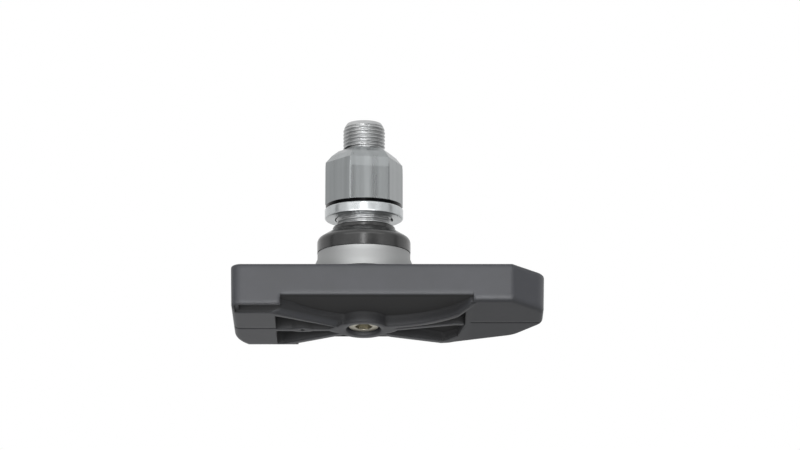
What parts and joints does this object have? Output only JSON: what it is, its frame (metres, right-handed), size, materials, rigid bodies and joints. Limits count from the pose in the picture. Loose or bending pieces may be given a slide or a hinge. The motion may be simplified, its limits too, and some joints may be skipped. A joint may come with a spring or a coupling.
{
  "type": "tyre pressure sensor",
  "caption": "Clamp-in tyre valve with a rubber grommet and rim nut, carrying a flat ribbed sensor housing screwed to its slanted foot.",
  "frame": {"origin": "on the valve axis at the top of the stem's base flange, where the grommet and rim seat", "axes": "+Z along the valve axis, outwards through the rim; +X along the housing, towards its long rounded end; +Y away from the housing's long flat wall"},
  "size_m": [0.0564, 0.0249, 0.04],
  "materials": {
    "housing_plastic": "fine moulded matt",
    "stem_metal": "turned and nickel-plated",
    "grommet_rubber": "smooth moulded",
    "washer_metal": "pressed and plated",
    "nut_metal": "turned satin",
    "screw_metal": "nickel-plated",
    "core_brass": "plain turned",
    "core_seal": "smooth",
    "spring_steel": "drawn wire",
    "board_laminate": "solder resist",
    "cell_steel": "pressed bright",
    "tab_nickel": "nickel strip",
    "chip_plastic": "moulded",
    "coil_ferrite": "sintered",
    "coil_copper": "enamelled wire",
    "capacitor_ceramic": "sintered"
  },
  "bodies": {
    "sensor": {"housing": "housing_plastic", "lid": "housing_plastic", "valve_stem": "stem_metal", "grommet": "grommet_rubber", "fixing_screw": "screw_metal", "core_barrel": "core_brass", "core_gasket": "core_seal", "core_spring": "spring_steel", "circuit_board": "board_laminate", "battery": "cell_steel", "battery_tab_lower": "tab_nickel", "battery_tab_upper": "tab_nickel", "sensor_chip": "chip_plastic", "port_seal": "core_seal", "crystal": "tab_nickel", "coil_core": "coil_ferrite", "coil_winding": "coil_copper", "antenna": "tab_nickel", "capacitors": "capacitor_ceramic"},
    "washer": {"nut_washer": "washer_metal"},
    "nut": {"clamp_nut": "nut_metal"},
    "pin": {"core_pin": "core_brass", "core_cup": "core_seal"}
  },
  "joints": [
    {"name": "nut_travel", "type": "slide", "parent": "sensor", "child": "washer", "axis": [0, 0, 1], "range_m": [-0.0014, 0.0045]},
    {"name": "nut_turn", "type": "hinge", "parent": "washer", "child": "nut", "pos_m": [0, 0, 0.014], "axis": [0, 0, 1], "range_deg": [-672, 2160]},
    {"name": "pin_press", "type": "slide", "parent": "sensor", "child": "pin", "axis": [0, 0, 1], "range_m": [-0.0015, 0], "stiffness_N_per_m": 700, "springref_m": 0.003, "deforming": ["core_spring"]}
  ],
  "couplings": [
    {"joint": "nut_turn", "follows": "nut_travel", "rad_per_m": 8377.6}
  ]
}
